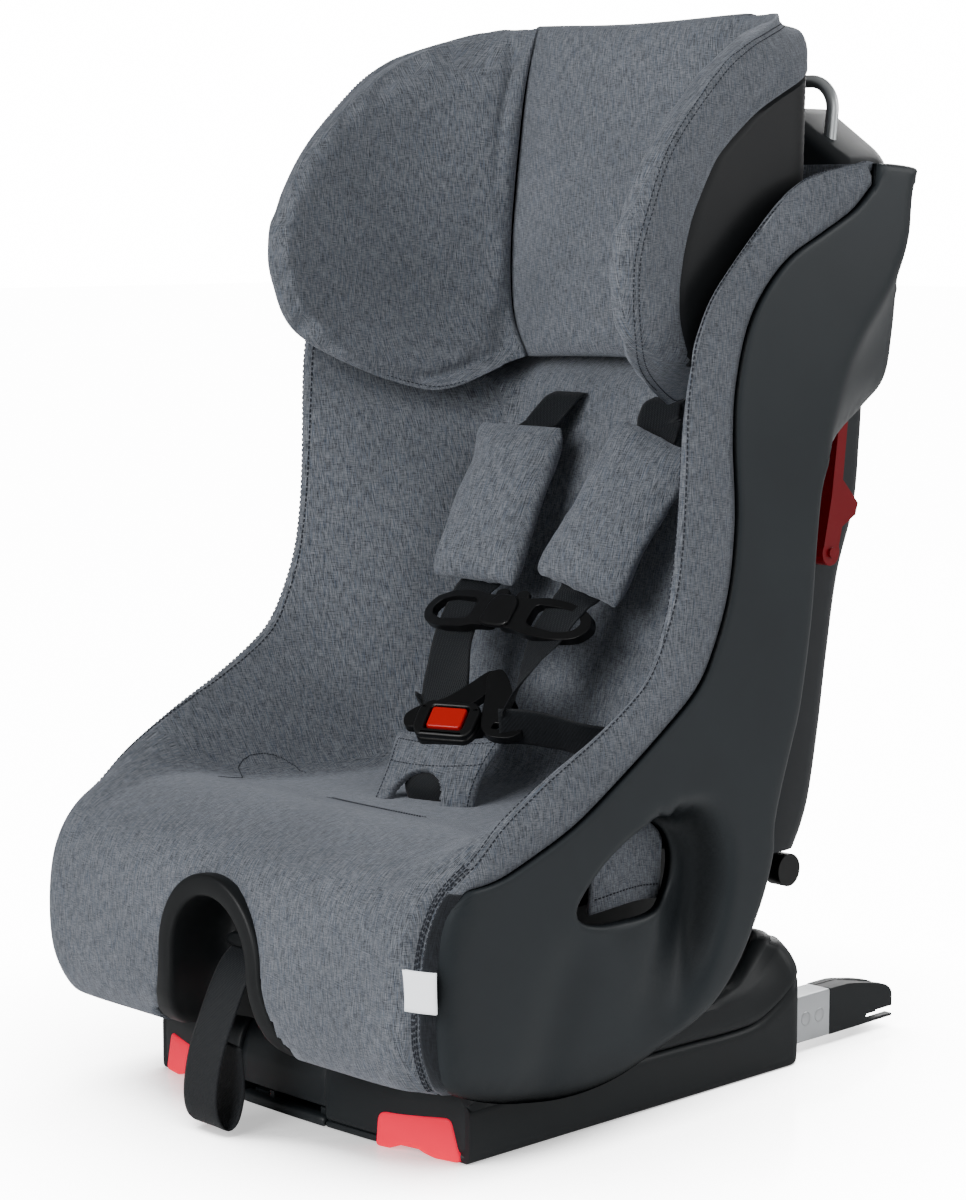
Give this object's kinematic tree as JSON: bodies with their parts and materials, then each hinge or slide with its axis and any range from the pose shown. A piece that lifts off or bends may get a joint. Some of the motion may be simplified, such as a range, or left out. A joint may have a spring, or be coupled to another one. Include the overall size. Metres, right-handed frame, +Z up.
{
  "type": "convertible car seat",
  "caption": "Forward-facing convertible child car seat with rocking recline base, sliding winged headrest, rigid latch arms and buckled harness.",
  "frame": {"origin": "on the floor, on the centre plane, mid-depth of the base", "axes": "+Z up, the child faces -Y, +X to the child's left, symmetric about X = 0"},
  "size_m": [0.43, 0.586, 0.806],
  "materials": {
    "base_plastic": "fine moulded texture",
    "shell_plastic": "soft satin moulded",
    "bezel_plastic": "smooth satin",
    "red_plastic": "satin",
    "buckle_red": "gloss",
    "buckle_plastic": "fine satin",
    "steel": "plated",
    "tube_steel": "anodised",
    "crush_metal": "mill",
    "fabric_grey": "heathered weave",
    "webbing_black": "ribbed webbing",
    "foam_white": "expanded foam"
  },
  "bodies": {
    "base": {"base_tray": "base_plastic", "base_cover": "base_plastic", "foot_left": "red_plastic", "foot_right": "red_plastic", "recline_rails": "steel", "latch_guides": "steel", "crush_cores": "crush_metal", "base_screws": "steel"},
    "handle": {"recline_handle": "base_plastic"},
    "pawl": {"recline_pawl": "steel"},
    "latch": {"latch_frame": "steel", "latch_connector_left": "bezel_plastic", "latch_connector_right": "bezel_plastic", "latch_rivets": "steel"},
    "jaw_left": {"latch_jaw_left": "steel"},
    "jaw_right": {"latch_jaw_right": "steel"},
    "release_left": {"latch_release_left": "red_plastic"},
    "release_right": {"latch_release_right": "red_plastic"},
    "seat": {"seat_underbody": "base_plastic", "runners": "steel", "side_shell_left": "shell_plastic", "side_shell_right": "shell_plastic", "back_shell": "shell_plastic", "back_frame": "steel", "back_foam": "foam_white", "headrest_guides": "base_plastic", "cross_tube": "bezel_plastic", "front_bezel": "bezel_plastic", "seat_cushion": "fabric_grey", "back_cushion": "fabric_grey", "bolster_left": "fabric_grey", "bolster_right": "fabric_grey", "harness_adjuster": "steel", "adjuster_strap": "webbing_black", "splitter_plate": "steel", "harness_strap_left": "webbing_black", "harness_strap_right": "webbing_black", "shoulder_pad_left": "fabric_grey", "shoulder_pad_right": "fabric_grey", "crotch_strap": "webbing_black", "crotch_pad": "fabric_grey", "buckle_body": "buckle_plastic", "buckle_tongues": "steel", "tether_strap": "webbing_black", "tether_hook": "steel"},
    "harness_button": {"harness_release": "bezel_plastic"},
    "buckle_press": {"buckle_button": "buckle_red"},
    "chest_clip": {"chest_clip_left": "buckle_plastic", "chest_clip_right": "buckle_plastic"},
    "clip_press": {"chest_clip_button": "buckle_plastic"},
    "lockoff_lever_left": {"lockoff_left": "red_plastic"},
    "lockoff_lever_right": {"lockoff_right": "red_plastic"},
    "hook_gate": {"tether_gate": "steel"},
    "headrest": {"headrest_tube": "tube_steel", "headrest_shell": "shell_plastic", "headrest_pad": "fabric_grey", "wing_pad_left": "fabric_grey", "wing_pad_right": "fabric_grey"},
    "headrest_button": {"headrest_release": "bezel_plastic"}
  },
  "joints": [
    {"name": "recline", "type": "hinge", "parent": "base", "child": "seat", "pos_m": [0, -0.02, 0.6], "axis": [-1, 0, 0], "range_deg": [0, 12]},
    {"name": "recline_handle_pull", "type": "slide", "parent": "base", "child": "handle", "axis": [0, -1, 0], "range_m": [0, 0.012], "stiffness_N_per_m": 400},
    {"name": "recline_pawl_turn", "type": "hinge", "parent": "base", "child": "pawl", "pos_m": [0, -0.1, 0.045], "axis": [1, 0, 0], "range_deg": [-12, 0]},
    {"name": "latch_slide", "type": "slide", "parent": "base", "child": "latch", "axis": [0, -1, 0], "range_m": [0, 0.1]},
    {"name": "latch_release_slide_left", "type": "slide", "parent": "latch", "child": "release_left", "axis": [0, -1, 0], "range_m": [0, 0.008], "stiffness_N_per_m": 300},
    {"name": "latch_release_slide_right", "type": "slide", "parent": "latch", "child": "release_right", "axis": [0, -1, 0], "range_m": [0, 0.008], "stiffness_N_per_m": 300},
    {"name": "latch_jaw_turn_left", "type": "hinge", "parent": "latch", "child": "jaw_left", "pos_m": [-0.14, 0.27, 0.031], "axis": [1, 0, 0], "range_deg": [0, 32]},
    {"name": "latch_jaw_turn_right", "type": "hinge", "parent": "latch", "child": "jaw_right", "pos_m": [0.14, 0.27, 0.031], "axis": [1, 0, 0], "range_deg": [0, 32]},
    {"name": "harness_release_press", "type": "slide", "parent": "seat", "child": "harness_button", "axis": [0, 1, 0], "range_m": [0, 0.006], "stiffness_N_per_m": 300},
    {"name": "buckle_press_slide", "type": "slide", "parent": "seat", "child": "buckle_press", "axis": [0, 0.9135, -0.4067], "range_m": [0, 0.004], "stiffness_N_per_m": 500},
    {"name": "chest_clip_slide", "type": "slide", "parent": "seat", "child": "chest_clip", "axis": [0, -0.6877, -0.726], "range_m": [-0.008, 0.03]},
    {"name": "chest_clip_press", "type": "slide", "parent": "chest_clip", "child": "clip_press", "axis": [0, 0.726, -0.6877], "range_m": [0, 0.002], "stiffness_N_per_m": 500},
    {"name": "lockoff_turn_left", "type": "hinge", "parent": "seat", "child": "lockoff_lever_left", "pos_m": [-0.166, 0.203, 0.397], "axis": [-1, 0, 0], "range_deg": [0, 55]},
    {"name": "lockoff_turn_right", "type": "hinge", "parent": "seat", "child": "lockoff_lever_right", "pos_m": [0.166, 0.203, 0.397], "axis": [-1, 0, 0], "range_deg": [0, 55]},
    {"name": "tether_gate_turn", "type": "hinge", "parent": "seat", "child": "hook_gate", "pos_m": [0, 0.301, 0.416], "axis": [-1, 0, 0], "range_deg": [-14, 0], "stiffness_Nm_per_rad": 0.02},
    {"name": "headrest_slide", "type": "slide", "parent": "seat", "child": "headrest", "axis": [0, 0.1219, 0.9925], "range_m": [0, 0.1]},
    {"name": "headrest_release_press", "type": "slide", "parent": "headrest", "child": "headrest_button", "axis": [0, 0, 1], "range_m": [0, 0.003], "stiffness_N_per_m": 300}
  ],
  "couplings": [
    {"joint": "recline_pawl_turn", "follows": "recline_handle_pull", "rad_per_m": -17.45},
    {"joint": "latch_jaw_turn_left", "follows": "latch_release_slide_left", "rad_per_m": 69.8},
    {"joint": "latch_jaw_turn_right", "follows": "latch_release_slide_right", "rad_per_m": 69.8}
  ]
}
